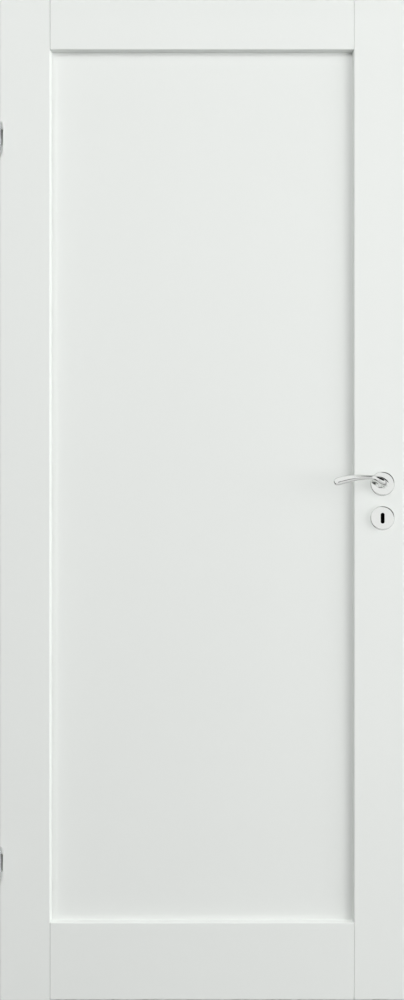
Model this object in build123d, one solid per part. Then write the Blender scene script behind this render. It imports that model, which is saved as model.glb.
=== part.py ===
"""A painted one-panel interior door leaf with lever handles, mortise lock and two hinges.

The frame has +Z up, +X from the hinge edge to the lock edge and +Y from the front to the back.
The origin is the middle of the lower hinge's frame plate, on the face that lies on the door frame.
"""
from build123d import *
import os
from math import cos, pi, sin, sqrt

# Leaf: two full-height stiles, two rails between them and one flat panel in their grooves
LEAF_WIDTH = 825.0
LEAF_HEIGHT = 2040.0
LEAF_THICKNESS = 40.0
STILE_FACE = 102.0
TOP_RAIL_FACE = 101.0
BOTTOM_RAIL_FACE = 157.0
PANEL_THICKNESS = 15.0
BEVEL_WIDTH = 3.0
GROOVE_DEPTH = 12.0
PANEL_PLAY = 2.0
TENON_PLAY = 0.5
ARRIS_RADIUS = 2.0
EASED_EDGE = 1.0
JOINT_LINE = 0.3
JOINT_LINE_DEPTH = 3.0

# Hinges: a leaf half let into the stile, a frame half and a loose pin
HINGE_FROM_BOTTOM = 280.0
HINGE_FROM_TOP = 280.0
HINGE_HEIGHT = 63.0
HINGE_PLATE_DEPTH = 24.0
HINGE_PLATE = 2.5
HINGE_CORNER = 5.0
HINGE_TAB_WIDTH = 6.3
HINGE_TAB_CORNER = 3.0
HINGE_POCKET_DEPTH = 14.0
LEAF_KNUCKLE = 35.0
KNUCKLE_GAP = 0.3
KNUCKLE_SWING_CLEARANCE = 1.0
PIN_RADIUS = 2.5
PIN_CLEARANCE = 0.05
PIN_HEAD = 1.5
MORTISE_CLEARANCE = 0.2
HINGE_SCREW_RADIUS = 2.1
HINGE_SCREW_HEAD_RADIUS = 3.6
HINGE_SCREW_SPACING_Y = 11.0
HINGE_SCREW_SPACING_Z = 44.0

# Lock: a case in the lock stile, its faceplate, the latch and the dead bolt
BACKSET = 45.0
LEVER_HEIGHT = 1053.0
KEY_BELOW_LEVER = 70.0
CASE_THICKNESS = 15.0
CASE_DEPTH = 66.0
CASE_ABOVE_LEVER = 30.0
CASE_BELOW_KEY = 26.0
CASE_CLEARANCE = 0.4
FACEPLATE_WIDTH = 20.0
FACEPLATE_MARGIN = 22.0
FACEPLATE_THICKNESS = 3.0
FACEPLATE_SCREW_RADIUS = 2.2
FACEPLATE_SCREW_HEAD_RADIUS = 4.0
LATCH_ABOVE_LEVER = 8.0
LATCH_HEIGHT = 22.0
LATCH_THICKNESS = 12.0
LATCH_REACH = 11.0
LATCH_NOSE = 2.5
LATCH_TAIL = 14.0
DEAD_BOLT_ABOVE_KEY = 6.0
DEAD_BOLT_HEIGHT = 30.0
DEAD_BOLT_THICKNESS = 10.0
DEAD_BOLT_TAIL = 20.0
BOLT_CLEARANCE = 0.3
KEYHOLE_WIDTH = 8.0
KEYHOLE_HEIGHT = 22.0
KEYHOLE_MARGIN = 1.0
KEYHOLE_STOP = 4.0

# Handle set: two round roses, two keyhole plates of the same outline, two levers and a spindle
ROSE_RADIUS = 25.0
ROSE_THICKNESS = 8.0
ROSE_RIM = 3.0
ROSE_CLEARANCE = 0.15
SPINDLE_SIZE = 8.0
SPINDLE_GRIP = 22.0
SPINDLE_CLEARANCE = 0.9
STILE_BORE_CLEARANCE = 4.0
NECK_RADIUS = 9.2
NECK_GAP = 0.5
LEVER_REACH = 103.2
LEVER_STANDOFF = 50.0
LEVER_BEND = 16.0
LEVER_RISE = 12.4
LEVER_CLIMB = 32.0
LEVER_CREST = 40.0
LEVER_TIP_DROP = 11.0
LEVER_BLEND = 30.0
GRIP_HALF_HEIGHT = 5.0
GRIP_HALF_DEPTH = 5.2
PADDLE_START = 30.0
PADDLE_FULL = 90.0
PADDLE_HALF_HEIGHT = 8.3
PADDLE_HALF_DEPTH = 4.2
TIP_BLUNTNESS = 2.6
TIP_FLAT = 0.4
BEND_SECTIONS = 4
ARM_SECTIONS = 8
TIP_SECTIONS = 5

# Places worked out from the sizes above
BARREL_RADIUS = PIN_RADIUS + HINGE_PLATE
HINGE_EDGE_X = HINGE_PLATE + 2 * PIN_RADIUS
LOCK_EDGE_X = HINGE_EDGE_X + LEAF_WIDTH
FRONT_Y = -HINGE_PLATE_DEPTH / 2
MIDDLE_Y = FRONT_Y + LEAF_THICKNESS / 2
BACK_Y = FRONT_Y + LEAF_THICKNESS
BOTTOM_Z = -HINGE_FROM_BOTTOM
TOP_Z = BOTTOM_Z + LEAF_HEIGHT
UPPER_HINGE_Z = TOP_Z - HINGE_FROM_TOP
PIN_X = BARREL_RADIUS
PIN_Y = FRONT_Y - sqrt((BARREL_RADIUS + KNUCKLE_SWING_CLEARANCE) ** 2 - PIN_RADIUS ** 2)
LEVER_X = LOCK_EDGE_X - BACKSET
LEVER_Z = BOTTOM_Z + LEVER_HEIGHT
KEY_Z = LEVER_Z - KEY_BELOW_LEVER
CASE_FRONT_X = LOCK_EDGE_X - FACEPLATE_THICKNESS
CASE_TOP_Z = LEVER_Z + CASE_ABOVE_LEVER
CASE_BOTTOM_Z = KEY_Z - CASE_BELOW_KEY
CASE_MIDDLE_Z = (CASE_TOP_Z + CASE_BOTTOM_Z) / 2
CASE_HEIGHT = CASE_TOP_Z - CASE_BOTTOM_Z
LATCH_Z = LEVER_Z + LATCH_ABOVE_LEVER
DEAD_BOLT_Z = KEY_Z + DEAD_BOLT_ABOVE_KEY
BORE_RADIUS = SPINDLE_SIZE / sqrt(2) + SPINDLE_CLEARANCE


def block(x, y, z):
    """A box between two limits along each axis."""
    size = Box(x[1] - x[0], y[1] - y[0], z[1] - z[0])
    return Pos((x[0] + x[1]) / 2, (y[0] + y[1]) / 2, (z[0] + z[1]) / 2) * size


def near(shape, points):
    """The vertices of a flat shape that lie at the given points."""
    return [v for v in shape.vertices() for p in points if abs(v.X - p[0]) + abs(v.Y - p[1]) < 1e-6]


def member_section(face_width, finished):
    """Section of a stile or rail: outer edge at 0, bevelled and grooved inner edge."""
    face = LEAF_THICKNESS / 2
    wall = PANEL_THICKNESS / 2
    lip = face_width + BEVEL_WIDTH
    floor = lip - GROOVE_DEPTH
    outer = [(0, -face), (0, face)]
    inner = [(face_width, -face), (face_width, face)]
    section = Polygon(
        outer[0], inner[0], (lip, -wall), (floor, -wall),
        (floor, wall), (lip, wall), inner[1], outer[1], align=None,
    )
    if finished:
        section = chamfer(near(section, inner), EASED_EDGE)
        section = fillet(near(section, outer), ARRIS_RADIUS)
    return section


def arris_cutter(y, z, y_way, z_way):
    """What a round-over takes off the long edge at y, z, working inward along y_way and z_way."""
    r = ARRIS_RADIUS
    corner = Pos(0, y_way * r / 2, z_way * r / 2) * Box(4 * LEAF_WIDTH, r, r)
    rod = Pos(0, y_way * r, z_way * r) * Rot(0, 90, 0) * Cylinder(r, 8 * LEAF_WIDTH)
    return Pos(0, y, z) * (corner - rod)


def stile_blank(edge_x, way, finished):
    """A full-height stile with its outer edge at edge_x, reaching inward along way."""
    plane = Plane(origin=(edge_x, MIDDLE_Y, BOTTOM_Z), x_dir=(way, 0, 0), z_dir=(0, 0, 1))
    stile = extrude(plane * member_section(STILE_FACE, finished), LEAF_HEIGHT)
    if finished:
        for y, y_way in ((FRONT_Y, 1), (BACK_Y, -1)):
            stile -= arris_cutter(y, BOTTOM_Z, y_way, 1)
            stile -= arris_cutter(y, TOP_Z, y_way, -1)
    return stile


def rail(edge_z, way, face_width):
    """A rail with tongues in the stiles' grooves, coped ends and a fine open line at each joint."""
    start = HINGE_EDGE_X + STILE_FACE + BEVEL_WIDTH - GROOVE_DEPTH + TENON_PLAY
    length = LEAF_WIDTH - 2 * (start - HINGE_EDGE_X)
    plane = Plane(origin=(start, MIDDLE_Y, edge_z), x_dir=(0, 0, way), z_dir=(1, 0, 0))
    body = extrude(plane * member_section(face_width, True), length)
    body -= stile_blank(HINGE_EDGE_X, 1, False)
    body -= stile_blank(LOCK_EDGE_X, -1, False)
    side = EASED_EDGE * sqrt(2)
    groove = Rot(0, 0, 45) * Box(side, side, 4 * face_width)
    groove += Box(2 * JOINT_LINE, 2 * JOINT_LINE_DEPTH, 4 * face_width)
    for x in (HINGE_EDGE_X + STILE_FACE, LOCK_EDGE_X - STILE_FACE):
        for y in (FRONT_Y, BACK_Y):
            body -= Pos(x, y, edge_z) * groove
    return body


def panel():
    """The flat panel, seated in the grooves with room to move."""
    inset = BEVEL_WIDTH - GROOVE_DEPTH + PANEL_PLAY
    side = STILE_FACE + inset
    return block(
        (HINGE_EDGE_X + side, LOCK_EDGE_X - side),
        (MIDDLE_Y - PANEL_THICKNESS / 2, MIDDLE_Y + PANEL_THICKNESS / 2),
        (BOTTOM_Z + BOTTOM_RAIL_FACE + inset, TOP_Z - TOP_RAIL_FACE - inset),
    )


def edge_plate(x, grow):
    """A hinge plate's outline on the leaf's edge, rounded at its two rear corners."""
    depth = HINGE_PLATE_DEPTH + grow
    height = HINGE_HEIGHT + 2 * grow
    sketch = Pos(FRONT_Y + depth / 2, 0) * Rectangle(depth, height)
    rear = FRONT_Y + depth
    sketch = fillet(near(sketch, [(rear, -height / 2), (rear, height / 2)]), HINGE_CORNER + grow)
    return extrude(Plane(origin=(x, 0, 0), x_dir=(0, 1, 0), z_dir=(1, 0, 0)) * sketch, HINGE_PLATE)


def front_tabs(grow):
    """The two tabs of the leaf half on the door's front, above and below the knuckle."""
    width = HINGE_TAB_WIDTH + grow
    height = HINGE_HEIGHT + 2 * grow
    sketch = Pos(HINGE_EDGE_X + width / 2, 0) * Rectangle(width, height)
    side = HINGE_EDGE_X + width
    sketch = fillet(near(sketch, [(side, -height / 2), (side, height / 2)]), HINGE_TAB_CORNER + grow)
    sketch -= Rectangle(4 * (HINGE_EDGE_X + width), LEAF_KNUCKLE - 2 * grow)
    return extrude(Plane(origin=(0, FRONT_Y, 0), x_dir=(1, 0, 0), z_dir=(0, -1, 0)) * sketch, -HINGE_PLATE)


def plate_screw_holes(x, way):
    """Four countersunk holes through a hinge plate, their wide ends at x + way * HINGE_PLATE."""
    sink = HINGE_SCREW_HEAD_RADIUS - HINGE_SCREW_RADIUS
    through = Pos(0, 0, HINGE_PLATE / 2) * Cylinder(HINGE_SCREW_RADIUS, 2 * HINGE_PLATE)
    cone = Pos(0, 0, HINGE_PLATE - sink / 2) * Cone(HINGE_SCREW_RADIUS, HINGE_SCREW_HEAD_RADIUS, sink)
    hole = Plane(origin=(x, 0, 0), x_dir=(0, 1, 0), z_dir=(way, 0, 0)) * (through + cone)
    half_y = HINGE_SCREW_SPACING_Y / 2
    half_z = HINGE_SCREW_SPACING_Z / 2
    return [Pos(0, y, z) * hole for y in (-half_y, half_y) for z in (-half_z, half_z)]


def barrel(low, high, bore):
    """A knuckle round the pin between two heights."""
    ring = Circle(BARREL_RADIUS) - Circle(bore)
    return extrude(Pos(PIN_X, PIN_Y, low) * ring, high - low)


def hinge_leaf_half():
    """The half on the door: edge plate, front tabs and the long middle knuckle."""
    half = LEAF_KNUCKLE / 2
    bore = PIN_RADIUS + PIN_CLEARANCE
    web = block((HINGE_EDGE_X, HINGE_EDGE_X + HINGE_PLATE), (PIN_Y, FRONT_Y), (-half, half))
    web -= Pos(PIN_X, PIN_Y, 0) * Cylinder(bore, 2 * LEAF_KNUCKLE)
    body = edge_plate(HINGE_EDGE_X, 0) + front_tabs(0) + web + barrel(-half, half, bore)
    for hole in plate_screw_holes(HINGE_EDGE_X + HINGE_PLATE, -1):
        body -= hole
    return body


def hinge_frame_half():
    """The half on the door frame: plate and the two outer knuckles."""
    low = LEAF_KNUCKLE / 2 + KNUCKLE_GAP
    high = HINGE_HEIGHT / 2 - PIN_HEAD
    bore = PIN_RADIUS + PIN_CLEARANCE
    body = edge_plate(0, 0)
    for z in ((low, high), (-high, -low)):
        web = block((0, HINGE_PLATE), (PIN_Y, FRONT_Y), z)
        body += web - Pos(PIN_X, PIN_Y, 0) * Cylinder(bore, 2 * HINGE_HEIGHT)
        body += barrel(z[0], z[1], bore)
    for hole in plate_screw_holes(0, 1):
        body -= hole
    return body


def hinge_pin():
    """The pin with a rounded button at each end."""
    half = HINGE_HEIGHT / 2
    body = Cylinder(PIN_RADIUS, HINGE_HEIGHT - PIN_HEAD)
    for way in (1, -1):
        button = Cylinder(BARREL_RADIUS, PIN_HEAD)
        rim = button.edges().filter_by(GeomType.CIRCLE).sort_by(Axis.Z)[-1 if way > 0 else 0]
        body += Pos(0, 0, way * (half - PIN_HEAD / 2)) * fillet(rim, PIN_HEAD * 0.8)
    return Pos(PIN_X, PIN_Y, 0) * body


def hinge_mortise():
    """The recess in the hinge stile for one leaf half, with a pocket behind the knuckle."""
    half = LEAF_KNUCKLE / 2 - MORTISE_CLEARANCE
    pocket = block(
        (HINGE_EDGE_X, HINGE_EDGE_X + HINGE_TAB_WIDTH + MORTISE_CLEARANCE),
        (FRONT_Y - HINGE_PLATE, FRONT_Y + HINGE_POCKET_DEPTH),
        (-half, half),
    )
    return edge_plate(HINGE_EDGE_X, MORTISE_CLEARANCE) + front_tabs(MORTISE_CLEARANCE) + pocket


def hinge_stile():
    """The stile that carries both hinges."""
    body = stile_blank(HINGE_EDGE_X, 1, True)
    for z in (0, UPPER_HINGE_Z):
        body -= Pos(0, 0, z) * hinge_mortise()
    return body


def across(sketch, x, z, y_start, y_end):
    """A flat shape drawn in X and Z, at x, z, made solid from y_start to y_end."""
    plane = Plane(origin=(x, y_start, z), x_dir=(1, 0, 0), z_dir=(0, -1, 0))
    return extrude(plane * sketch, y_start - y_end)


def keyhole(margin):
    """The round-ended keyhole outline, upright."""
    width = KEYHOLE_WIDTH + 2 * margin
    return SlotOverall(KEYHOLE_HEIGHT + 2 * margin, width, rotation=90)


def lock_stile():
    """The stile with the lock's mortise, the spindle's bore and the keyhole through it."""
    body = stile_blank(LOCK_EDGE_X, -1, True)
    gap = CASE_CLEARANCE
    thick = CASE_THICKNESS / 2 + gap
    body -= block(
        (CASE_FRONT_X - CASE_DEPTH - gap, LOCK_EDGE_X + ARRIS_RADIUS),
        (MIDDLE_Y - thick, MIDDLE_Y + thick),
        (CASE_BOTTOM_Z - gap, CASE_TOP_Z + gap),
    )
    body -= faceplate_blank(gap, 2 * FACEPLATE_THICKNESS)
    reach = (FRONT_Y - ARRIS_RADIUS, BACK_Y + ARRIS_RADIUS)
    body -= across(Circle(BORE_RADIUS + STILE_BORE_CLEARANCE), LEVER_X, LEVER_Z, *reach)
    body -= across(keyhole(KEYHOLE_MARGIN), LEVER_X, KEY_Z, *reach)
    return body


def faceplate_blank(grow, thickness):
    """The faceplate's round-ended outline on the lock edge."""
    width = FACEPLATE_WIDTH + 2 * grow
    outline = SlotOverall(CASE_HEIGHT + 2 * FACEPLATE_MARGIN + 2 * grow, width, rotation=90)
    plane = Plane(origin=(CASE_FRONT_X, MIDDLE_Y, CASE_MIDDLE_Z), x_dir=(0, 1, 0), z_dir=(1, 0, 0))
    return extrude(plane * outline, thickness)


def bolt_window(z, height, thickness, depth):
    """The opening for a bolt of the given height, from depth inside the case out past the faceplate."""
    gap = BOLT_CLEARANCE
    return block(
        (CASE_FRONT_X - depth, LOCK_EDGE_X + FACEPLATE_THICKNESS),
        (MIDDLE_Y - thickness / 2 - gap, MIDDLE_Y + thickness / 2 + gap),
        (z - height / 2 - gap, z + height / 2 + gap),
    )


def lock_faceplate():
    """The faceplate with windows for the two bolts and a countersunk screw hole at each end."""
    body = faceplate_blank(0, FACEPLATE_THICKNESS)
    body -= bolt_window(LATCH_Z, LATCH_HEIGHT, LATCH_THICKNESS, 0)
    body -= bolt_window(DEAD_BOLT_Z, DEAD_BOLT_HEIGHT, DEAD_BOLT_THICKNESS, 0)
    sink = FACEPLATE_SCREW_HEAD_RADIUS - FACEPLATE_SCREW_RADIUS
    through = Cylinder(FACEPLATE_SCREW_RADIUS, 4 * FACEPLATE_THICKNESS)
    cone = Pos(0, 0, -sink / 2) * Cone(FACEPLATE_SCREW_RADIUS, FACEPLATE_SCREW_HEAD_RADIUS, sink)
    offset = CASE_HEIGHT / 2 + FACEPLATE_MARGIN / 2
    for z in (CASE_MIDDLE_Z - offset, CASE_MIDDLE_Z + offset):
        plane = Plane(origin=(LOCK_EDGE_X, MIDDLE_Y, z), x_dir=(0, 1, 0), z_dir=(1, 0, 0))
        body -= plane * (through + cone)
    return body


def lock_case():
    """The closed lock case, with the bolts' channels, the spindle's bore and a keyhole on each side."""
    half = CASE_THICKNESS / 2
    body = block(
        (CASE_FRONT_X - CASE_DEPTH, CASE_FRONT_X),
        (MIDDLE_Y - half, MIDDLE_Y + half),
        (CASE_BOTTOM_Z, CASE_TOP_Z),
    )
    body -= bolt_window(LATCH_Z, LATCH_HEIGHT, LATCH_THICKNESS, LATCH_TAIL)
    body -= bolt_window(DEAD_BOLT_Z, DEAD_BOLT_HEIGHT, DEAD_BOLT_THICKNESS, DEAD_BOLT_TAIL)
    body -= across(Circle(BORE_RADIUS), LEVER_X, LEVER_Z, MIDDLE_Y - 2 * half, MIDDLE_Y + 2 * half)
    for way in (-1, 1):
        inner = MIDDLE_Y + way * KEYHOLE_STOP / 2
        outer = MIDDLE_Y + way * 2 * half
        body -= across(keyhole(0), LEVER_X, KEY_Z, min(inner, outer), max(inner, outer))
    return body


def latch_bolt():
    """The sprung latch, bevelled on the side that meets the frame as the door closes."""
    half = LATCH_THICKNESS / 2
    tail = CASE_FRONT_X - LATCH_TAIL
    tip = LOCK_EDGE_X + LATCH_REACH
    outline = Polygon(
        (tail, MIDDLE_Y - half), (tip, MIDDLE_Y - half), (tip, MIDDLE_Y - half + LATCH_NOSE),
        (LOCK_EDGE_X, MIDDLE_Y + half), (tail, MIDDLE_Y + half), align=None,
    )
    return extrude(Pos(0, 0, LATCH_Z - LATCH_HEIGHT / 2) * outline, LATCH_HEIGHT)


def dead_bolt():
    """The dead bolt, drawn back flush with the faceplate."""
    half = DEAD_BOLT_THICKNESS / 2
    return block(
        (CASE_FRONT_X - DEAD_BOLT_TAIL, LOCK_EDGE_X),
        (MIDDLE_Y - half, MIDDLE_Y + half),
        (DEAD_BOLT_Z - DEAD_BOLT_HEIGHT / 2, DEAD_BOLT_Z + DEAD_BOLT_HEIGHT / 2),
    )


def disc():
    """The round cover shared by rose and keyhole plate, lying on the door's front."""
    body = across(Circle(ROSE_RADIUS), 0, 0, FRONT_Y - ROSE_THICKNESS, FRONT_Y)
    rim = body.edges().filter_by(GeomType.CIRCLE).sort_by(Axis.Y)[0]
    return fillet(rim, ROSE_RIM)


def front_rose():
    """The cover round the lever's neck."""
    bore = across(Circle(NECK_RADIUS + ROSE_CLEARANCE), 0, 0, FRONT_Y - 2 * ROSE_THICKNESS, BACK_Y)
    return Pos(LEVER_X, 0, LEVER_Z) * (disc() - bore)


def front_keyhole_plate():
    """The cover with the keyhole."""
    slot = across(keyhole(0), 0, 0, FRONT_Y - 2 * ROSE_THICKNESS, BACK_Y)
    return Pos(LEVER_X, 0, KEY_Z) * (disc() - slot)


def smooth(share):
    """An even ease from 0 to 1."""
    s = min(max(share, 0.0), 1.0)
    return s * s * (3 - 2 * s)


def arm_height(s):
    """Height of the lever's centreline above the spindle at a distance s along the arm."""
    to_climb = max(1 - s / LEVER_CLIMB, 0.0)
    past_crest = max(s - LEVER_CREST, 0.0) / (LEVER_REACH - LEVER_CREST)
    return LEVER_RISE * (1 - to_climb ** 2) - LEVER_TIP_DROP * past_crest ** 2


def arm_depth(s):
    """Distance of the lever's centreline from the door's face at a distance s along the arm."""
    turn = max(LEVER_BEND - s, 0.0)
    return LEVER_STANDOFF - LEVER_BEND + sqrt(LEVER_BEND ** 2 - turn ** 2)


def arm_point(s):
    """The lever's centreline at a distance s from the spindle, measured along the door."""
    return Vector(-s, -arm_depth(s), arm_height(s))


def arm_size(s, grip, paddle):
    """Half size of the lever's section at s: the neck's radius, then the grip, the paddle and the round tip."""
    size = NECK_RADIUS + smooth(s / LEVER_BLEND) * (grip - NECK_RADIUS)
    size += smooth((s - PADDLE_START) / (PADDLE_FULL - PADDLE_START)) * (paddle - grip)
    past_full = max(s - PADDLE_FULL, 0.0) / (LEVER_REACH - PADDLE_FULL)
    return size * (1 - past_full ** TIP_BLUNTNESS) ** (1 / TIP_BLUNTNESS)


def arm_section(s):
    """The lever's oval section at s, square to its centreline."""
    step = 1e-3
    if s < step:
        tangent = Vector(0, -1, 0)
    else:
        tangent = arm_point(s + step) - arm_point(s - step)
    height = arm_size(s, GRIP_HALF_HEIGHT, PADDLE_HALF_HEIGHT)
    depth = arm_size(s, GRIP_HALF_DEPTH, PADDLE_HALF_DEPTH)
    up = Vector(0, 0, 1)
    along = tangent.normalized()
    across_dir = (up - along * up.dot(along)).normalized()
    return Plane(origin=arm_point(s), x_dir=across_dir, z_dir=along) * Ellipse(height, depth)


def front_lever():
    """The lever: a round neck out of the rose, a bend, a slim grip and a flattened, drooping end."""
    stations = [LEVER_BEND * (1 - cos(pi / 2 * i / BEND_SECTIONS)) for i in range(BEND_SECTIONS + 1)]
    pitch = (PADDLE_FULL - LEVER_BEND) / ARM_SECTIONS
    stations += [LEVER_BEND + pitch * (i + 1) for i in range(ARM_SECTIONS)]
    tip_length = LEVER_REACH - TIP_FLAT - PADDLE_FULL
    stations += [PADDLE_FULL + tip_length * sin(pi / 2 * (i + 1) / TIP_SECTIONS) for i in range(TIP_SECTIONS)]
    arm = loft([arm_section(s) for s in stations])
    neck = across(Circle(NECK_RADIUS), 0, 0, LEVER_BEND - LEVER_STANDOFF, -NECK_GAP)
    body = neck + arm
    body -= block(
        (-SPINDLE_SIZE / 2, SPINDLE_SIZE / 2),
        (-SPINDLE_GRIP, LEAF_THICKNESS),
        (-SPINDLE_SIZE / 2, SPINDLE_SIZE / 2),
    )
    return Pos(LEVER_X, FRONT_Y, LEVER_Z) * body


def spindle():
    """The square bar that joins the two levers through the lock."""
    half = SPINDLE_SIZE / 2
    return block(
        (LEVER_X - half, LEVER_X + half),
        (FRONT_Y - SPINDLE_GRIP, BACK_Y + SPINDLE_GRIP),
        (LEVER_Z - half, LEVER_Z + half),
    )


def to_back(shape):
    """The same piece on the back of the door."""
    return mirror(shape, about=Plane(origin=(0, MIDDLE_Y, 0), z_dir=(0, 1, 0)))


def build():
    """Every piece of the door by name."""
    lever = front_lever()
    rose = front_rose()
    keyhole_plate = front_keyhole_plate()
    leaf_half = hinge_leaf_half()
    frame_half = hinge_frame_half()
    pin = hinge_pin()
    upper = Pos(0, 0, UPPER_HINGE_Z)
    return {
        "hinge_stile": hinge_stile(),
        "lock_stile": lock_stile(),
        "top_rail": rail(TOP_Z, -1, TOP_RAIL_FACE),
        "bottom_rail": rail(BOTTOM_Z, 1, BOTTOM_RAIL_FACE),
        "panel": panel(),
        "lower_hinge_leaf_half": leaf_half,
        "lower_hinge_frame_half": frame_half,
        "lower_hinge_pin": pin,
        "upper_hinge_leaf_half": upper * leaf_half,
        "upper_hinge_frame_half": upper * frame_half,
        "upper_hinge_pin": upper * pin,
        "lock_case": lock_case(),
        "lock_faceplate": lock_faceplate(),
        "latch_bolt": latch_bolt(),
        "dead_bolt": dead_bolt(),
        "front_rose": rose,
        "back_rose": to_back(rose),
        "front_keyhole_plate": keyhole_plate,
        "back_keyhole_plate": to_back(keyhole_plate),
        "front_lever": lever,
        "back_lever": to_back(lever),
        "spindle": spindle(),
    }


os.makedirs("parts", exist_ok=True)
for name, shape in build().items():
    export_step(shape, f"parts/{name}.step")
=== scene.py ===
"""Dresses a white one-panel interior door: its finishes, screws, keyways and studio.

Every length is in metres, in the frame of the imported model: +Z up, the front of the door faces -Y,
the hinges are on the low X edge and the lock is on the high X edge.
"""
import logging
import math
from dataclasses import dataclass, field
from enum import Enum
from typing import Any

import bmesh
import bpy
from mathutils import Matrix, Vector


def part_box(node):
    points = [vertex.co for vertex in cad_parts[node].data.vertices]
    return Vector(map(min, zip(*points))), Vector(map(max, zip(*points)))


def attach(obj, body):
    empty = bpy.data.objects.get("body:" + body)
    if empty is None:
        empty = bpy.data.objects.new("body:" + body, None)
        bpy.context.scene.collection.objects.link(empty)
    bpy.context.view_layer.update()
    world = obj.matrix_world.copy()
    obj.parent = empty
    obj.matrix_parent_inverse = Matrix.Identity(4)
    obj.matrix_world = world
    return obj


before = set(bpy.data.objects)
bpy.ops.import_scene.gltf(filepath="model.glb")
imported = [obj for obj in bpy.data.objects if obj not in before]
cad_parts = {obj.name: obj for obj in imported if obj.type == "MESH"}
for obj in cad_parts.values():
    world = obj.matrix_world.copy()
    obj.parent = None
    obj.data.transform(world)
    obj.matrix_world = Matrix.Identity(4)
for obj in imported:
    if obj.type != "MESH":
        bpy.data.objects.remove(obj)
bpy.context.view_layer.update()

MM = 0.001
BEVEL = 3.0 * MM
LOG = logging.getLogger("door")
Colour = tuple[float, float, float]

# Places of the colour sockets on a Mix node
MIX_FACTOR, MIX_FIRST, MIX_SECOND, MIX_RESULT = 0, 6, 7, 2


class Body(Enum):
    """The rigid bodies that pieces ride on."""

    HINGE_FRAME_HALVES = "hinge_frame_halves"
    DOOR_LEAF = "door_leaf"


class Way(Enum):
    """The outward directions that screw heads face."""

    LOW_X = (-1.0, 0.0, 0.0)
    HIGH_X = (1.0, 0.0, 0.0)


class Side(Enum):
    """The two faces of the leaf, by the sign of their outward Y."""

    FRONT = -1
    BACK = 1


def srgb(red: int, green: int, blue: int) -> Colour:
    """Turns an 8-bit display colour into the linear colour that shaders take.

    Args:
        red: Red from 0 to 255.
        green: Green from 0 to 255.
        blue: Blue from 0 to 255.

    Returns:
        The linear colour.
    """
    def linear(value: int) -> float:
        """One channel in linear light."""
        share = value / 255
        return share / 12.92 if share <= 0.04045 else ((share + 0.055) / 1.055) ** 2.4

    return linear(red), linear(green), linear(blue)


def add_node(tree: bpy.types.NodeTree, kind: str, **values: Any) -> bpy.types.Node:
    """Adds a node to a tree.

    Args:
        tree: The tree.
        kind: The node's Blender type.
        **values: Attributes to set on it.

    Returns:
        The new node.
    """
    node = tree.nodes.new(kind)
    for key, value in values.items():
        setattr(node, key, value)
    return node


class MaterialSheet:
    """A material with a principled shader and short ways to add and join nodes."""

    def __init__(self, name: str) -> None:
        """Starts an empty material.

        Args:
            name: The material's name.
        """
        self.material = bpy.data.materials.new(name)
        self.material.use_nodes = True
        self.tree = self.material.node_tree
        self.tree.nodes.clear()
        self.output = self.add("ShaderNodeOutputMaterial")
        self.shader = self.add("ShaderNodeBsdfPrincipled")
        self.join(self.shader, "BSDF", self.output, "Surface")
        self.coords = self.add("ShaderNodeTexCoord")

    def add(self, kind: str, **values: Any) -> bpy.types.Node:
        """Adds a node and sets attributes on it."""
        return add_node(self.tree, kind, **values)

    def join(self, source: bpy.types.Node, out: str | int, target: bpy.types.Node, into: str | int) -> None:
        """Links one socket to another by name or place."""
        self.tree.links.new(source.outputs[out], target.inputs[into])

    def set(self, **values: Any) -> None:
        """Sets plain values on the shader's own sockets.

        Args:
            **values: The values by the sockets' names, with underscores for spaces.
        """
        for key, value in values.items():
            socket = self.shader.inputs[key.replace("_", " ")]
            socket.default_value = (*value, 1.0) if isinstance(value, tuple) else value

    def noise(self, scale: Colour, detail: float = 2.0, roughness: float = 0.5) -> bpy.types.Node:
        """Adds noise on object coordinates.

        Args:
            scale: Cycles per metre along X, Y and Z.
            detail: The number of octaves.
            roughness: How much the finer octaves count.

        Returns:
            The noise node.
        """
        mapping = self.add("ShaderNodeMapping")
        mapping.inputs["Scale"].default_value = scale
        self.join(self.coords, "Object", mapping, "Vector")
        texture = self.add("ShaderNodeTexNoise")
        texture.inputs["Scale"].default_value = 1.0
        texture.inputs["Detail"].default_value = detail
        texture.inputs["Roughness"].default_value = roughness
        self.join(mapping, "Vector", texture, "Vector")
        return texture

    def ramp(self, source: bpy.types.Node, out: str, low: float, high: float) -> bpy.types.Node:
        """Maps a value from 0..1 to low..high.

        Args:
            source: The node that gives the value.
            out: Its output's name.
            low: The result at 0.
            high: The result at 1.

        Returns:
            The mapping node, whose output is Result.
        """
        node = self.add("ShaderNodeMapRange")
        node.inputs["To Min"].default_value = low
        node.inputs["To Max"].default_value = high
        self.join(source, out, node, "Value")
        return node

    def tint(self, source: bpy.types.Node, out: str, dark: Colour, light: Colour) -> bpy.types.Node:
        """Mixes two colours by a value and feeds the base colour.

        Args:
            source: The node that gives the mix.
            out: Its output's name.
            dark: The colour at 0.
            light: The colour at 1.

        Returns:
            The mix node.
        """
        mix = self.add("ShaderNodeMix", data_type="RGBA")
        mix.inputs[MIX_FIRST].default_value = (*dark, 1.0)
        mix.inputs[MIX_SECOND].default_value = (*light, 1.0)
        self.join(source, out, mix, MIX_FACTOR)
        self.join(mix, MIX_RESULT, self.shader, "Base Color")
        return mix

    def bump(self, source: bpy.types.Node, out: str, height: float, strength: float = 1.0,
             under: bpy.types.Node | None = None) -> bpy.types.Node:
        """Adds surface relief.

        Args:
            source: The node that gives the height from 0 to 1.
            out: Its output's name.
            height: The relief's height in metres.
            strength: How strongly it turns the normals.
            under: A relief that this one lies on.

        Returns:
            The bump node, joined to the shader.
        """
        node = self.add("ShaderNodeBump")
        node.inputs["Distance"].default_value = height
        node.inputs["Strength"].default_value = strength
        self.join(source, out, node, "Height")
        if under is not None:
            self.join(under, "Normal", node, "Normal")
        self.join(node, "Normal", self.shader, "Normal")
        return node


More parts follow.
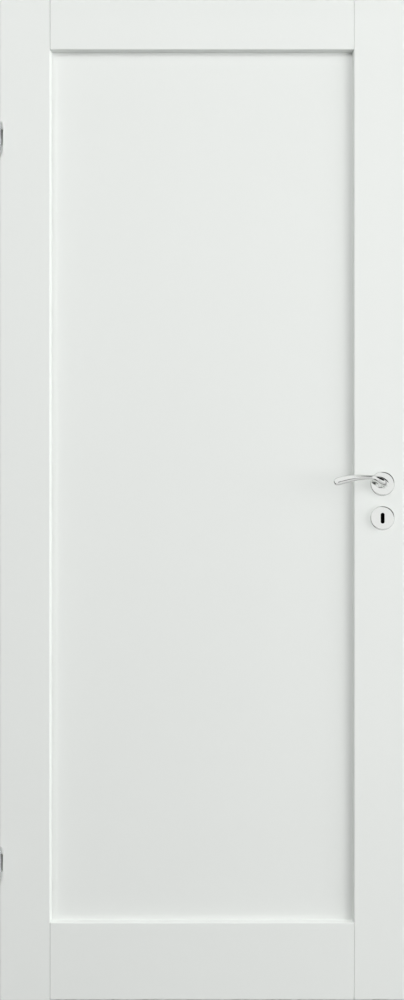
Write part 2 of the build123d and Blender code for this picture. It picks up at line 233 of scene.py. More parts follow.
@dataclass(frozen=True)
class JointShadeLine:
    """A fine dark line painted along an upright joint, given by its X: painted shade that stands for the
    shadow in the narrow gap between stile and rail.
    """

    x: float
    core: float = 0.36 * MM
    rim: float = 0.66 * MM
    depth: float = 0.75


@dataclass(frozen=True)
class SprayedPaint:
    """Factory-sprayed satin paint with a faint orange peel and slow drifts of tone, and painted shade lines
    along any joints given.
    """

    name: str
    colour: Colour
    joints: tuple[JointShadeLine, ...] = ()
    drift: float = 0.012
    drift_scale: Colour = (3.0, 3.0, 2.0)
    peel_pitch: float = 1.7 * MM
    peel_height: float = 0.004 * MM
    peel_strength: float = 0.6
    wave_pitch_share: float = 9.0
    wave_height_share: float = 4.0
    wave_strength: float = 0.3
    roughness: float = 0.42
    roughness_spread: float = 0.05
    specular: float = 0.45

    def make(self) -> bpy.types.Material:
        """Builds the paint.

        Returns:
            The material.
        """
        sheet = MaterialSheet(self.name)
        slow = sheet.noise(self.drift_scale, detail=3.0)
        dark = tuple(c * (1 - self.drift) for c in self.colour)
        light = tuple(min(c * (1 + self.drift), 1.0) for c in self.colour)
        tone = sheet.tint(slow, "Fac", dark, light)
        # Painted shade: each joint line darkens the paint's colour where the gap's shadow falls.
        for joint in self.joints:
            tone = self._paint_joint_shade(sheet, tone, joint)
        fine = 1 / self.peel_pitch
        coarse = fine / self.wave_pitch_share
        peel = sheet.noise((fine, fine, fine), detail=1.5, roughness=0.4)
        wave = sheet.noise((coarse, coarse, coarse), detail=1.0)
        low, high = self.roughness - self.roughness_spread, self.roughness + self.roughness_spread
        gloss = sheet.ramp(wave, "Fac", low, high)
        sheet.join(gloss, "Result", sheet.shader, "Roughness")
        long_wave = sheet.bump(wave, "Fac", self.peel_height * self.wave_height_share, self.wave_strength)
        sheet.bump(peel, "Fac", self.peel_height, self.peel_strength, long_wave)
        sheet.set(Specular_IOR_Level=self.specular)
        return sheet.material

    def _paint_joint_shade(self, sheet: MaterialSheet, tone: bpy.types.Node, joint: JointShadeLine) -> bpy.types.Node:
        """Darkens the paint along one joint with painted shade, a dark line that stands for the shadow in
        the joint's gap.

        Args:
            sheet: The material.
            tone: The mix node that gives the colour so far.
            joint: The joint's line.

        Returns:
            The mix node that gives the new colour.
        """
        axes = sheet.add("ShaderNodeSeparateXYZ")
        sheet.join(sheet.coords, "Object", axes, "Vector")
        across = sheet.add("ShaderNodeMath", operation="SUBTRACT")
        across.inputs[1].default_value = joint.x
        sheet.join(axes, "X", across, 0)
        away = sheet.add("ShaderNodeMath", operation="ABSOLUTE")
        sheet.join(across, "Value", away, 0)
        share = sheet.add("ShaderNodeMapRange", interpolation_type="SMOOTHSTEP")
        share.inputs["From Min"].default_value = joint.core
        share.inputs["From Max"].default_value = joint.rim
        share.inputs["To Min"].default_value = 1.0 - joint.depth
        sheet.join(away, "Value", share, "Value")
        # Painted shade: multiplies the colour down towards the joint.
        mix = sheet.add("ShaderNodeMix", data_type="RGBA", blend_type="MULTIPLY")
        mix.inputs[MIX_FACTOR].default_value = 1.0
        sheet.join(tone, MIX_RESULT, mix, MIX_FIRST)
        sheet.join(share, "Result", mix, MIX_SECOND)
        sheet.join(mix, MIX_RESULT, sheet.shader, "Base Color")
        return mix


@dataclass(frozen=True)
class PolishedChrome:
    """Bright plated metal with faint polishing haze."""

    name: str
    colour: Colour
    roughness: float = 0.03
    haze: float = 0.03
    cloud_scale: Colour = (90.0, 90.0, 90.0)
    cloud_tone: float = 0.97
    scratch_pitch: float = 0.25 * MM
    scratch_stretch: float = 12.0
    scratch_height: float = 0.0006 * MM
    scratch_strength: float = 0.25

    def make(self) -> bpy.types.Material:
        """Builds the plating.

        Returns:
            The material.
        """
        sheet = MaterialSheet(self.name)
        cloud = sheet.noise(self.cloud_scale, detail=4.0, roughness=0.6)
        dark = tuple(c * self.cloud_tone for c in self.colour)
        sheet.tint(cloud, "Fac", dark, self.colour)
        haze = sheet.ramp(cloud, "Fac", self.roughness, self.roughness + self.haze)
        sheet.join(haze, "Result", sheet.shader, "Roughness")
        fine = 1 / self.scratch_pitch
        lines = sheet.noise((fine / self.scratch_stretch, fine, fine), detail=2.0, roughness=0.7)
        sheet.bump(lines, "Fac", self.scratch_height, self.scratch_strength)
        sheet.set(Metallic=1.0)
        return sheet.material


@dataclass(frozen=True)
class BrushedMetal:
    """Plain steel with a fine grain along one axis and a mottled plating."""

    name: str
    dark: Colour
    light: Colour
    grain: Colour
    roughness: float = 0.36
    smoother: float = 0.1
    rougher: float = 0.12
    mottle_scale: Colour = (240.0, 240.0, 240.0)
    grain_height: float = 0.004 * MM
    grain_strength: float = 0.4

    def make(self) -> bpy.types.Material:
        """Builds the metal.

        Returns:
            The material.
        """
        sheet = MaterialSheet(self.name)
        mottle = sheet.noise(self.mottle_scale, detail=5.0, roughness=0.65)
        sheet.tint(mottle, "Fac", self.dark, self.light)
        lines = sheet.noise(self.grain, detail=3.0, roughness=0.6)
        gloss = sheet.ramp(lines, "Fac", self.roughness - self.smoother, self.roughness + self.rougher)
        sheet.join(gloss, "Result", sheet.shader, "Roughness")
        sheet.bump(lines, "Fac", self.grain_height, self.grain_strength)
        sheet.set(Metallic=1.0)
        return sheet.material


@dataclass(frozen=True)
class PaintedShadeBlack:
    """Matt black plastic for the linings of the keyholes, near-black and almost without gloss so that it
    stands as painted shade for the dark inside of a keyhole.
    """

    name: str
    dark: Colour
    light: Colour
    roughness: float = 0.75
    roughness_spread: float = 0.1
    grain_scale: Colour = (1500.0, 1500.0, 1500.0)
    grain_height: float = 0.02 * MM
    grain_strength: float = 0.5
    specular: float = 0.05

    def make(self) -> bpy.types.Material:
        """Builds the plastic.

        Returns:
            The material.
        """
        sheet = MaterialSheet(self.name)
        grain = sheet.noise(self.grain_scale, detail=2.0)
        sheet.tint(grain, "Fac", self.dark, self.light)
        low, high = self.roughness - self.roughness_spread, self.roughness + self.roughness_spread
        gloss = sheet.ramp(grain, "Fac", low, high)
        sheet.join(gloss, "Result", sheet.shader, "Roughness")
        sheet.bump(grain, "Fac", self.grain_height, self.grain_strength)
        sheet.set(Specular_IOR_Level=self.specular)
        return sheet.material


PAINT_WHITE = srgb(232, 235, 232)


@dataclass
class FinishBook:
    """The door's finishes, each made once."""

    paint: SprayedPaint = SprayedPaint("white_satin_paint", PAINT_WHITE)
    # The rails' paint carries painted shade lines along both joints with the stiles, the one at the hinge
    # stile wider.
    rail_paint_with_joint_shade: SprayedPaint = SprayedPaint(
        "white_satin_paint_on_rails", PAINT_WHITE,
        (
            JointShadeLine(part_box("hinge_stile")[1][0] - BEVEL, core=0.6 * MM, rim=1.1 * MM),
            JointShadeLine(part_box("lock_stile")[0][0] + BEVEL),
        ),
    )
    chrome: PolishedChrome = PolishedChrome("polished_chrome_plate", (0.825, 0.84, 0.82))
    zinc: BrushedMetal = BrushedMetal(
        "zinc_plated_hinge_steel", dark=(0.8, 0.81, 0.8), light=(0.92, 0.93, 0.92),
        grain=(700.0, 700.0, 60.0), roughness=0.55,
    )
    steel: BrushedMetal = BrushedMetal(
        "brushed_lock_steel", dark=(0.5, 0.5, 0.5), light=(0.64, 0.64, 0.63),
        grain=(1500.0, 1500.0, 40.0), roughness=0.3,
    )
    # Painted shade: a near-black lining, darker than real black plastic, for the shade deep in the keyholes.
    dark: PaintedShadeBlack = PaintedShadeBlack("matt_black_lining_as_painted_shade", (0.0012, 0.0012, 0.0012), (0.003, 0.003, 0.003))
    made: dict[str, bpy.types.Material] = field(default_factory=dict)

    def of(self, name: str) -> bpy.types.Material:
        """Gives a finish's material, making it at first use.

        Args:
            name: The field that holds the finish.

        Returns:
            The material.
        """
        if name not in self.made:
            self.made[name] = getattr(self, name).make()
        return self.made[name]


def dress(node: str, material: bpy.types.Material) -> None:
    """Gives a CAD node its finish.

    Args:
        node: The node's name.
        material: The finish.
    """
    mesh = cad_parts[node].data
    mesh.materials.clear()
    mesh.materials.append(material)
    LOG.info("dressed %s in %s", node, material.name)


def link(name: str, mesh: bpy.types.Mesh) -> bpy.types.Object:
    """Puts a mesh into the scene as an object at the origin.

    Args:
        name: The object's name.
        mesh: Its mesh, in the row frame.

    Returns:
        The object.
    """
    piece = bpy.data.objects.new(name, mesh)
    bpy.context.scene.collection.objects.link(piece)
    return piece


def carry(piece: bpy.types.Object, body: Body) -> None:
    """Makes a finished piece ride on a body.

    Args:
        piece: The piece.
        body: The body that carries it.
    """
    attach(piece, body.value)
    LOG.info("made %s with %d faces on %s", piece.name, len(piece.data.polygons), body.value)


class ScrewTree:
    """A Geometry Nodes tree that sets cross-slotted countersunk screw heads on a grid of points."""

    SIZES = (
        "Head Radius", "Head Depth", "Slot Width", "Slot Length", "Slot Depth", "Spacing A", "Spacing B",
    )
    HEAD_SIDES = 32
    SHANK_SHARE = 0.55
    TURN_SEED = 7
    TURN_LOW, TURN_HIGH, TURN_RESULT = 2, 3, 1

    def __init__(self, material: bpy.types.Material, rows: int, columns: int) -> None:
        """Builds the tree.

        Args:
            material: The screws' finish.
            rows: The number of screws along the grid's first side.
            columns: The number of screws along its second side.
        """
        self.tree = bpy.data.node_groups.new("countersunk_screws", "GeometryNodeTree")
        self.tree.interface.new_socket("Geometry", in_out="OUTPUT", socket_type="NodeSocketGeometry")
        self.identifiers: dict[str, str] = {}
        for size in self.SIZES:
            socket = self.tree.interface.new_socket(size, in_out="INPUT", socket_type="NodeSocketFloat")
            self.identifiers[size] = socket.identifier
        self.sizes = self.tree.nodes.new("NodeGroupInput")
        self._grow(material, rows, columns)

    def _node(self, kind: str, **values: Any) -> bpy.types.Node:
        """Adds a node and sets attributes on it."""
        return add_node(self.tree, kind, **values)

    def _join(self, source: bpy.types.Node, out: str | int, target: bpy.types.Node, into: str | int) -> None:
        """Links two sockets."""
        self.tree.links.new(source.outputs[out], target.inputs[into])

    def _bar(self, length_into: int, width_into: int) -> bpy.types.Node:
        """Adds one bar of the cross slot, sunk into the head's face.

        Args:
            length_into: The axis, 0 or 1, that the slot's length runs along.
            width_into: The other axis.

        Returns:
            The node whose first output is the bar.
        """
        size = self._node("ShaderNodeCombineXYZ")
        self._join(self.sizes, "Slot Length", size, length_into)
        self._join(self.sizes, "Slot Width", size, width_into)
        self._join(self.sizes, "Slot Depth", size, "Z")
        cube = self._node("GeometryNodeMeshCube")
        self._join(size, 0, cube, "Size")
        return cube

    def _grow(self, material: bpy.types.Material, rows: int, columns: int) -> None:
        """Lays out the nodes from head and slot to placed, realized screws.

        Args:
            material: The screws' finish.
            rows: The number of screws along the grid's first side.
            columns: The number of screws along its second side.
        """
        head = self._node("GeometryNodeMeshCone", fill_type="NGON")
        head.inputs["Vertices"].default_value = self.HEAD_SIDES
        shank = self._node("ShaderNodeMath", operation="MULTIPLY")
        shank.inputs[1].default_value = self.SHANK_SHARE
        self._join(self.sizes, "Head Radius", shank, 0)
        self._join(shank, 0, head, "Radius Bottom")
        self._join(self.sizes, "Head Radius", head, "Radius Top")
        self._join(self.sizes, "Head Depth", head, "Depth")
        sink = self._node("ShaderNodeMath", operation="MULTIPLY")
        sink.inputs[1].default_value = -1.0
        self._join(self.sizes, "Head Depth", sink, 0)
        drop = self._node("ShaderNodeCombineXYZ")
        self._join(sink, 0, drop, "Z")
        lower = self._node("GeometryNodeTransform")
        self._join(head, "Mesh", lower, "Geometry")
        self._join(drop, 0, lower, "Translation")
        cut = self._node("GeometryNodeMeshBoolean", operation="DIFFERENCE", solver="EXACT")
        self._join(lower, "Geometry", cut, "Mesh 1")
        for length_into, width_into in ((0, 1), (1, 0)):
            bar = self._bar(length_into, width_into)
            self._join(bar, "Mesh", cut, "Mesh 2")
        grid = self._node("GeometryNodeMeshGrid")
        grid.inputs["Vertices X"].default_value = rows
        grid.inputs["Vertices Y"].default_value = columns
        self._join(self.sizes, "Spacing A", grid, "Size X")
        self._join(self.sizes, "Spacing B", grid, "Size Y")
        turn = self._node("FunctionNodeRandomValue", data_type="FLOAT")
        turn.inputs["Seed"].default_value = self.TURN_SEED
        turn.inputs[self.TURN_LOW].default_value = 0.0
        turn.inputs[self.TURN_HIGH].default_value = math.pi
        spin = self._node("ShaderNodeCombineXYZ")
        self._join(turn, self.TURN_RESULT, spin, "Z")
        place = self._node("GeometryNodeInstanceOnPoints")
        self._join(grid, "Mesh", place, "Points")
        self._join(cut, "Mesh", place, "Instance")
        self._join(spin, 0, place, "Rotation")
        real = self._node("GeometryNodeRealizeInstances")
        self._join(place, "Instances", real, "Geometry")
        finish = self._node("GeometryNodeSetMaterial")
        finish.inputs["Material"].default_value = material
        self._join(real, "Geometry", finish, "Geometry")
        out = self._node("NodeGroupOutput")
        self._join(finish, "Geometry", out, "Geometry")

    def mesh(self, sizes: dict[str, float]) -> bpy.types.Mesh:
        """Runs the tree once.

        Args:
            sizes: A length for each of the tree's named inputs.

        Returns:
            The screws as a plain mesh, facing +Z round the origin.
        """
        holder = link("screw_holder", bpy.data.meshes.new("screw_holder"))
        modifier = holder.modifiers.new("screws", "NODES")
        modifier.node_group = self.tree
        for size, value in sizes.items():
            modifier[self.identifiers[size]] = value
        depsgraph = bpy.context.evaluated_depsgraph_get()
        result = bpy.data.meshes.new_from_object(holder.evaluated_get(depsgraph), depsgraph=depsgraph)
        holder.modifiers.remove(modifier)
        bpy.data.objects.remove(holder)
        return result


@dataclass
class ScrewSet:
    """Countersunk screws of one size on one flat plate."""

    head_radius: float
    spacing_y: float
    spacing_z: float
    rows: int = 2
    columns: int = 2
    head_depth: float = 1.4 * MM
    slot_width: float = 0.7 * MM
    slot_length_share: float = 1.15
    slot_depth: float = 1.3 * MM

    def build(self, material: bpy.types.Material, centre: Vector, way: Way) -> bpy.types.Mesh:
        """Makes the screws in place.

        Args:
            material: Their finish.
            centre: The middle of the pattern, on the plate's outer face.
            way: The direction that the heads face.

        Returns:
            The mesh in the row frame.
        """
        tree = ScrewTree(material, self.rows, self.columns)
        mesh = tree.mesh({
            "Head Radius": self.head_radius,
            "Head Depth": self.head_depth,
            "Slot Width": self.slot_width,
            "Slot Length": self.head_radius * self.slot_length_share,
            "Slot Depth": self.slot_depth,
            "Spacing A": self.spacing_y,
            "Spacing B": self.spacing_z,
        })
        out = Vector(way.value)
        up = Vector((0.0, 0.0, 1.0))
        side = up.cross(out)
        turn = Matrix((side, up, out)).transposed().to_4x4()
        mesh.transform(Matrix.Translation(centre) @ turn)
        return mesh


@dataclass
class Woodwork:
    """The stiles, rails and panel of the leaf."""

    uprights: tuple[str, ...] = ("hinge_stile", "lock_stile", "panel")
    rails: tuple[str, ...] = ("top_rail", "bottom_rail")

    def dress(self, finishes: FinishBook) -> None:
        """Paints every wooden piece.

        Args:
            finishes: The finishes.
        """
        for node in self.uprights:
            dress(node, finishes.of("paint"))
        # The rails get the paint with the painted joint shade.
        for node in self.rails:
            dress(node, finishes.of("rail_paint_with_joint_shade"))


@dataclass
class HingePair:
    """The upper and lower hinges with their screws."""

    levels: tuple[str, ...] = ("lower", "upper")
    screw_head_radius: float = 3.4 * MM
    screw_spacing_y: float = 11.0 * MM
    screw_spacing_z: float = 44.0 * MM
    plate: float = 2.5 * MM

    def dress(self, finishes: FinishBook) -> None:
        """Gives both hinges their plating and keeps the knuckles' lamp shadows off the paint.

        Args:
            finishes: The finishes.
        """
        for level in self.levels:
            for piece in ("leaf_half", "frame_half", "pin"):
                dress(f"{level}_hinge_{piece}", finishes.of("zinc"))
            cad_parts[f"{level}_hinge_leaf_half"].visible_shadow = False

    def build_screws(self, finishes: FinishBook) -> None:
        """Sets four screws in each plate.

        Args:
            finishes: The finishes.
        """
        screws = ScrewSet(self.screw_head_radius, self.screw_spacing_y, self.screw_spacing_z)
        for level in self.levels:
            low, high = (Vector(corner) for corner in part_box(f"{level}_hinge_frame_half"))
            z = (low.z + high.z) / 2
            leaf_face = Vector((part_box("hinge_stile")[0][0], 0.0, z))
            frame_face = Vector((self.plate, 0.0, z))
            for part, centre, way, body in (
                ("leaf_screws", leaf_face, Way.LOW_X, Body.DOOR_LEAF),
                ("frame_screws", frame_face, Way.HIGH_X, Body.HINGE_FRAME_HALVES),
            ):
                mesh = screws.build(finishes.of("zinc"), centre, way)
                carry(link(f"{level}_hinge_{part}", mesh), body)


@dataclass
class LockEdge:
    """The lock's faceplate, bolts, case and screws."""

    screw_head_radius: float = 3.8 * MM
    screw_inset: float = 11.0 * MM

    def dress(self, finishes: FinishBook) -> None:
        """Gives the lock its brushed steel."""
        for node in ("lock_case", "lock_faceplate", "latch_bolt", "dead_bolt", "spindle"):
            dress(node, finishes.of("steel"))

    def build_screws(self, finishes: FinishBook) -> None:
        """Sets a screw near each end of the faceplate.

        Args:
            finishes: The finishes.
        """
        low, high = (Vector(corner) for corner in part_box("lock_faceplate"))
        spacing = high.z - low.z - 2 * self.screw_inset
        centre = Vector((high.x, (low.y + high.y) / 2, (low.z + high.z) / 2))
        screws = ScrewSet(self.screw_head_radius, 0.0, spacing, rows=1)
        mesh = screws.build(finishes.of("steel"), centre, Way.HIGH_X)
        carry(link("faceplate_screws", mesh), Body.DOOR_LEAF)


@dataclass
class HandleSet:
    """Levers, roses and keyhole plates on both faces, with black linings in the keyholes as painted shade.
    """

    nodes: tuple[str, ...] = (
        "front_rose", "back_rose", "front_keyhole_plate", "back_keyhole_plate", "front_lever", "back_lever",
    )
    keyhole_width: float = 8.0 * MM
    keyhole_height: float = 22.0 * MM
    keyhole_stop: float = 4.0 * MM
    lining_gap: float = 0.03 * MM
    lining_wall: float = 0.5 * MM
    lining_inset: float = 1.2 * MM
    arc_steps: int = 16

    def dress(self, finishes: FinishBook) -> None:
        """Gives the fittings their plating and keeps their lamp shadows off the paint.

        Args:
            finishes: The finishes.
        """
        for node in self.nodes:
            dress(node, finishes.of("chrome"))
            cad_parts[node].visible_shadow = False

    def _ring(self, grow: float) -> list[tuple[float, float]]:
        """The keyhole's round-ended outline, grown outward.

        Args:
            grow: How far outside the keyhole the outline lies.

        Returns:
            Points in X and Z round the keyhole's middle.
        """
        radius = self.keyhole_width / 2 + grow
        straight = (self.keyhole_height - self.keyhole_width) / 2
        points = []
        for way in (1, -1):
            for step in range(self.arc_steps + 1):
                angle = math.pi * step / self.arc_steps
                points.append((way * radius * math.cos(angle), way * (straight + radius * math.sin(angle))))
        return points

    def build_lining(self, side: Side, finishes: FinishBook) -> None:
        """Lines one keyhole with a black cup, from just inside its plate to the stop in the lock case; the
        cup is a dark sheet that stands for the keyhole's inner shade.

        Args:
            side: The face of the leaf that the keyhole is on.
            finishes: The finishes.
        """
        low, high = (Vector(corner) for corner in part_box(f"{side.name.lower()}_keyhole_plate"))
        case_low, case_high = (Vector(corner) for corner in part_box("lock_case"))
        x = (low.x + high.x) / 2
        z = (low.z + high.z) / 2
        middle = (case_low.y + case_high.y) / 2
        face = low.y if side is Side.FRONT else high.y
        start = face - side.value * self.lining_inset
        back = middle + side.value * (self.keyhole_stop / 2 + self.lining_gap)
        floor = back + side.value * self.lining_wall
        outer = self._ring(-self.lining_gap)
        inner = self._ring(-self.lining_gap - self.lining_wall)
        shell = bmesh.new()
        rings = []
        for outline, y in ((outer, back), (outer, start), (inner, start), (inner, floor)):
            rings.append([shell.verts.new((x + px, y, z + pz)) for px, pz in outline])
        count = len(outer)
        for a, b in zip(rings, rings[1:]):
            for i in range(count):
                j = (i + 1) % count
                shell.faces.new((a[i], a[j], b[j], b[i]))
        shell.faces.new(rings[0])
        shell.faces.new(rings[-1])
        bmesh.ops.recalc_face_normals(shell, faces=shell.faces)
        mesh = bpy.data.meshes.new(f"{side.name.lower()}_keyhole_shade_lining")
        shell.to_mesh(mesh)
        shell.free()
        # The cup gets the near-black finish that stands as painted shade.
        mesh.materials.append(finishes.of("dark"))
        carry(link(mesh.name, mesh), Body.DOOR_LEAF)


@dataclass(frozen=True)
class Softbox:
    """A large square lamp that lights paint softly and leaves no bright patch in polished metal."""

    name: str
    way: Colour
    distance: float
    size: float
    power: float

    def hang(self, aim: Vector) -> None:
        """Puts the lamp in place.

        Args:
            aim: The point that it faces.
        """
        lamp = bpy.data.lights.new(self.name, "AREA")
        lamp.size = self.size
        lamp.energy = self.power
        holder = bpy.data.objects.new(self.name, lamp)
        way = Vector(self.way).normalized()
        holder.location = aim + way * self.distance
        holder.rotation_euler = way.to_track_quat("Z", "Y").to_euler()
        holder.visible_glossy = False
        bpy.context.scene.collection.objects.link(holder)
        LOG.info("hung %s", self.name)


@dataclass(frozen=True)
class Flag:
    """A round black screen in the room, which polished metal mirrors as a dark line or crescent.

    Its way is seen from the door, and it stands the same in front of the door and behind it.
    """

    name: str
    way: Colour
    core: float
    rim: float
    depth: float


@dataclass(frozen=True)
class Belt:
    """A dim belt round the room in the plane of the door, which outlines polished edges.

    The core and rim are distances off that plane, as sines.
    """

    core: float
    rim: float
    depth: float


class WorldSheet:
    """The surroundings: a backdrop for the camera, a room for shiny metal, a soft fill for the rest."""

    def __init__(self) -> None:
        """Starts an empty world."""
        world = bpy.data.worlds.new("studio")
        bpy.context.scene.world = world
        world.use_nodes = True
        self.tree = world.node_tree
        self.tree.nodes.clear()
        self.output = self._node("ShaderNodeOutputWorld")
        self.path = self._node("ShaderNodeLightPath")

    def _node(self, kind: str, **values: Any) -> bpy.types.Node:
        """Adds a node and sets attributes on it."""
        return add_node(self.tree, kind, **values)

    def _join(self, source: bpy.types.Node, out: str | int, target: bpy.types.Node, into: str | int) -> None:
        """Links two sockets."""
        self.tree.links.new(source.outputs[out], target.inputs[into])

    def plain(self, colour: Colour) -> bpy.types.Node:
        """Adds an even background.

        Args:
            colour: Its colour.

        Returns:
            The background node.
        """
        node = self._node("ShaderNodeBackground")
        node.inputs["Color"].default_value = (*colour, 1.0)
        return node

    def room(self, strength: float, flags: tuple[Flag, ...], belt: Belt) -> bpy.types.Node:
        """Adds a bright room with black flags and a dim belt, alike in front of the door and behind it.

        Args:
            strength: The brightness between the flags.
            flags: The flags.
            belt: The belt.

        Returns:
            The background node.
        """
        coords = self._node("ShaderNodeTexCoord")
        axes = self._node("ShaderNodeSeparateXYZ")
        self._join(coords, "Generated", axes, "Vector")
        off_plane = self._node("ShaderNodeMath", operation="ABSOLUTE")
        self._join(axes, "Y", off_plane, 0)
        folded = self._node("ShaderNodeCombineXYZ")
        self._join(axes, "X", folded, "X")
        self._join(off_plane, "Value", folded, "Y")
        self._join(axes, "Z", folded, "Z")
        level = self._shade(off_plane, belt.rim, belt.core, belt.depth)
        for flag in flags:
            near = self._node("ShaderNodeVectorMath", operation="DOT_PRODUCT", label=flag.name)
            near.inputs[1].default_value = Vector(flag.way).normalized()
            self._join(folded, "Vector", near, 0)
            rim, core = (math.cos(math.radians(angle)) for angle in (flag.rim, flag.core))
            shade = self._shade(near, rim, core, flag.depth)
            both = self._node("ShaderNodeMath", operation="MULTIPLY")
            self._join(level, 0, both, 0)
            self._join(shade, 0, both, 1)
            level = both
        node = self.plain((1.0, 1.0, 1.0))
        node.inputs["Strength"].default_value = strength
        self._join(level, 0, node, "Color")
        return node

    def _shade(self, source: bpy.types.Node, start: float, full: float, depth: float) -> bpy.types.Node:
        """Adds a soft-edged loss of light.

        Args:
            source: The node that gives the value, as its output Value.
            start: The value at which the loss starts.
            full: The value at which it is full.
            depth: The share of light lost there.

        Returns:
            A node that gives the share of light left.
        """
        shade = self._node("ShaderNodeMapRange", interpolation_type="SMOOTHSTEP")
        low, high = sorted((start, full))
        shade.inputs["From Min"].default_value = low
        shade.inputs["From Max"].default_value = high
        shade.inputs["To Min"].default_value = 1.0 if start == low else 1.0 - depth
        shade.inputs["To Max"].default_value = 1.0 if start == high else 1.0 - depth
        self._join(source, "Value", shade, "Value")
        return shade

    def choose(self, ray: str, other: bpy.types.Node, chosen: bpy.types.Node) -> bpy.types.Node:
        """Adds a switch between two backgrounds.

        Args:
            ray: The kind of ray that sees the chosen one, as a Light Path output.
            other: What all other rays see.
            chosen: What that ray sees.

        Returns:
            The switch.
        """
        mix = self._node("ShaderNodeMixShader")
        self._join(self.path, ray, mix, 0)
        self._join(other, 0, mix, 1)
        self._join(chosen, 0, mix, 2)
        return mix

    def use(self, node: bpy.types.Node) -> None:
        """Makes a node the world's surface."""
        self._join(node, 0, self.output, "Surface")


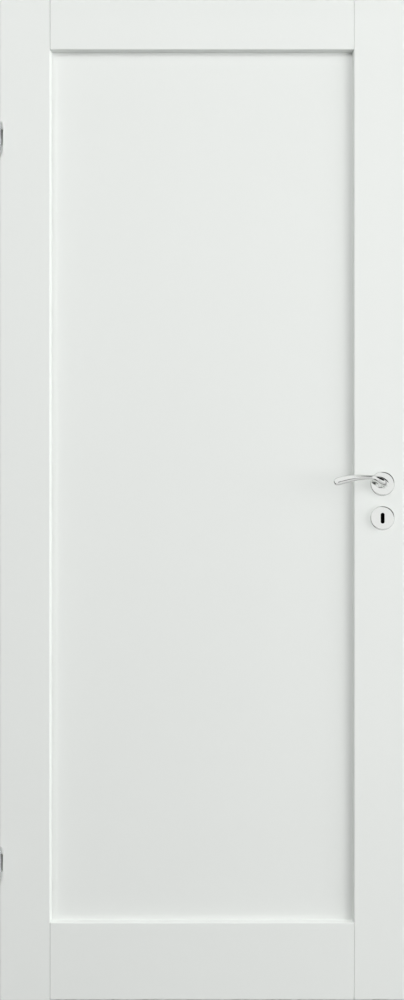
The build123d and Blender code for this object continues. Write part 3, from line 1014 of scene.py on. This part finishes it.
@dataclass
class Studio:
    """Floor, soft lights, surroundings and camera."""

    floor_gap: float = 10.0 * MM
    floor_radius: float = 7.0
    floor_sides: int = 96
    floor_colour: Colour = srgb(206, 206, 204)
    floor_bounce: Colour = (0.16, 0.16, 0.16)
    floor_fade: tuple[float, float] = (1.8, 5.0)
    floor_roughness: float = 0.8
    floor_specular: float = 0.2
    camera_distance: float = 2.8
    sensor: float = 36.0
    softboxes: tuple[Softbox, ...] = (
        Softbox("upper_left_softbox", (-0.35, -0.68, 0.64), 10.0, 5.0, 545.0),
        Softbox("grazing_right_softbox", (0.93, -0.36, 0.1), 8.0, 4.2, 348.0),
        Softbox("right_softbox", (0.72, -0.69, 0.0), 6.0, 3.2, 162.0),
        Softbox("back_left_softbox", (-0.3, 0.84, 0.45), 8.0, 5.0, 300.0),
        Softbox("back_right_softbox", (0.3, 0.84, 0.45), 8.0, 5.0, 300.0),
    )
    ambient: Colour = (0.184, 0.184, 0.184)
    backdrop: Colour = srgb(228, 228, 228)
    room_level: float = 0.96
    flags: tuple[Flag, ...] = (
        Flag("upper_right_flag", (0.56, 0.6, 0.57), 29.0, 34.0, 0.99),
        Flag("left_flag", (-0.94, 0.28, -0.2), 10.0, 32.0, 0.85),
        Flag("low_front_flag", (0.08, 0.975, -0.21), 4.5, 8.5, 0.75),
        Flag("lower_left_flag", (-0.6, 0.5, -0.62), 15.0, 19.0, 0.97),
        Flag("floor_flag", (0.0, 0.1, -1.0), 18.0, 75.0, 0.35),
    )
    belt: Belt = Belt(0.02, 0.36, 0.55)

    def _floor_finish(self, centre: Vector) -> bpy.types.Material:
        """Makes a pale floor that throws little light up and fades into the backdrop for the camera.

        Args:
            centre: The floor's middle.

        Returns:
            The material.
        """
        sheet = MaterialSheet("pale_floor")
        path = sheet.add("ShaderNodeLightPath")
        sheet.tint(path, "Is Diffuse Ray", self.floor_colour, self.floor_bounce)
        sheet.set(Roughness=self.floor_roughness, Specular_IOR_Level=self.floor_specular)
        away = sheet.add("ShaderNodeVectorMath", operation="DISTANCE")
        away.inputs[1].default_value = centre
        sheet.join(sheet.coords, "Object", away, 0)
        fade = sheet.add("ShaderNodeMapRange", interpolation_type="SMOOTHSTEP")
        near, far = self.floor_fade
        fade.inputs["From Min"].default_value = near
        fade.inputs["From Max"].default_value = far
        sheet.join(away, "Value", fade, "Value")
        seen = sheet.add("ShaderNodeMath", operation="MULTIPLY")
        sheet.join(fade, "Result", seen, 0)
        sheet.join(path, "Is Camera Ray", seen, 1)
        glow = sheet.add("ShaderNodeEmission")
        glow.inputs["Color"].default_value = (*self.backdrop, 1.0)
        mix = sheet.add("ShaderNodeMixShader")
        sheet.join(seen, "Value", mix, 0)
        sheet.join(sheet.shader, "BSDF", mix, 1)
        sheet.join(glow, "Emission", mix, 2)
        sheet.join(mix, "Shader", sheet.output, "Surface")
        return sheet.material

    def build_floor(self) -> None:
        """Lays a round floor just under the leaf."""
        disc = bmesh.new()
        bmesh.ops.create_circle(disc, cap_ends=True, segments=self.floor_sides, radius=self.floor_radius)
        mesh = bpy.data.meshes.new("floor")
        disc.to_mesh(mesh)
        disc.free()
        low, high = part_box("panel")
        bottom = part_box("bottom_rail")[0][2] - self.floor_gap
        centre = Vector(((low[0] + high[0]) / 2, 0.0, bottom))
        mesh.transform(Matrix.Translation(centre))
        mesh.materials.append(self._floor_finish(centre))
        floor = link("floor", mesh)
        floor.visible_glossy = False

    def build_lights(self) -> None:
        """Hangs the softboxes round the middle of the panel."""
        low, high = (Vector(corner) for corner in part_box("panel"))
        aim = (low + high) / 2
        for softbox in self.softboxes:
            softbox.hang(aim)

    def build_surroundings(self) -> None:
        """Sets what the camera, shiny metal and everything else see around the door."""
        world = WorldSheet()
        room = world.room(self.room_level, self.flags, self.belt)
        metal = world.choose("Is Glossy Ray", world.plain(self.ambient), room)
        world.use(world.choose("Is Camera Ray", metal, world.plain(self.backdrop)))

    def build_camera(self) -> None:
        """Faces the leaf squarely, so that its front fills the picture from top to bottom."""
        low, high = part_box("hinge_stile")
        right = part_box("lock_stile")[1][0]
        camera = bpy.data.cameras.new("camera")
        camera.sensor_width = self.sensor
        camera.lens = self.sensor * self.camera_distance / (high[2] - low[2])
        holder = bpy.data.objects.new("camera", camera)
        holder.location = ((low[0] + right) / 2, low[1] - self.camera_distance, (low[2] + high[2]) / 2)
        holder.rotation_euler = (math.pi / 2, 0.0, 0.0)
        bpy.context.scene.collection.objects.link(holder)
        bpy.context.scene.camera = holder

    def build(self) -> None:
        """Builds the whole studio."""
        self.build_camera()
        self.build_floor()
        self.build_lights()
        self.build_surroundings()
        bpy.context.scene.view_settings.view_transform = "Standard"


def main() -> None:
    """Builds and dresses the door, then the studio."""
    logging.basicConfig(level=logging.INFO, format="%(message)s")
    finishes = FinishBook()
    Woodwork().dress(finishes)
    hinges = HingePair()
    hinges.dress(finishes)
    hinges.build_screws(finishes)
    lock = LockEdge()
    lock.dress(finishes)
    lock.build_screws(finishes)
    handles = HandleSet()
    handles.dress(finishes)
    for side in Side:
        handles.build_lining(side, finishes)
    Studio().build()


if __name__ == "__main__":
    main()
